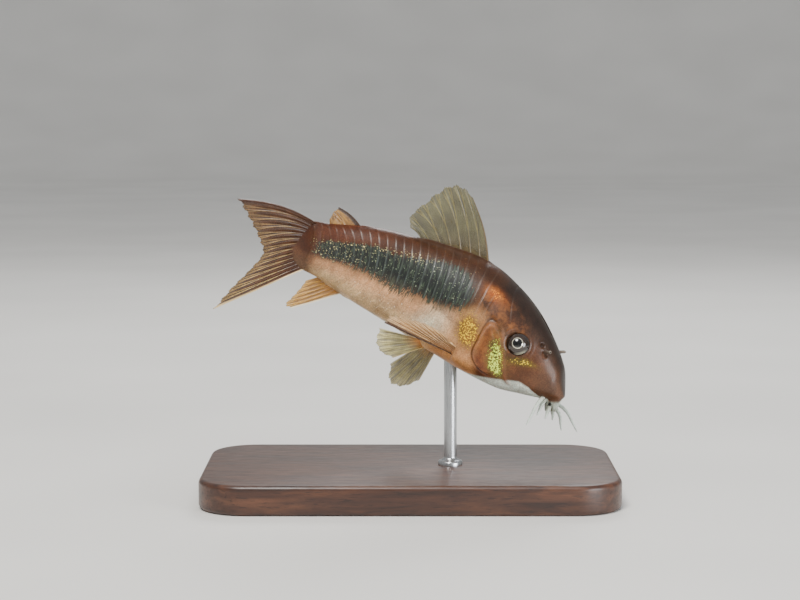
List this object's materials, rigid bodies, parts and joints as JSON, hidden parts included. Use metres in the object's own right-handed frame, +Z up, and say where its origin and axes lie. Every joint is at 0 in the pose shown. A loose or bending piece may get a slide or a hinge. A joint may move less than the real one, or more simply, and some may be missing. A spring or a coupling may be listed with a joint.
{
  "type": "corydoras catfish display model",
  "caption": "Life-size bronze corydoras catfish, nosing down and turning, with armour plates, rayed fins and barbels, held by one rod over a flat base.",
  "frame": {"origin": "middle of the stand's underside, on the surface it stands on", "axes": "+X towards the fish's snout, -Y towards its right side, +Z up"},
  "size_m": [0.07, 0.04, 0.0527],
  "materials": {
    "skin": "moist satin skin with a metallic green-bronze sheen",
    "fins": "thin horny membrane with rays",
    "eyes": "clear glossy",
    "barbels": "soft, slightly translucent",
    "stand_wood": "dark stained, satin",
    "stand_steel": "satin"
  },
  "bodies": {
    "root": {"head": "skin", "trunk": "skin", "tail": "skin", "fin_dorsal": "fins", "fin_adipose": "fins", "fin_anal": "fins", "fin_tail": "fins", "fin_pectoral_right": "fins", "fin_pectoral_left": "fins", "fin_pelvic_right": "fins", "fin_pelvic_left": "fins", "eye_right": "eyes", "eye_left": "eyes", "barbel_upper_right": "barbels", "barbel_lower_right": "barbels", "barbel_chin_right": "barbels", "barbel_upper_left": "barbels", "barbel_lower_left": "barbels", "barbel_chin_left": "barbels", "stand_base": "stand_wood", "stand_rod": "stand_steel"}
  },
  "joints": []
}
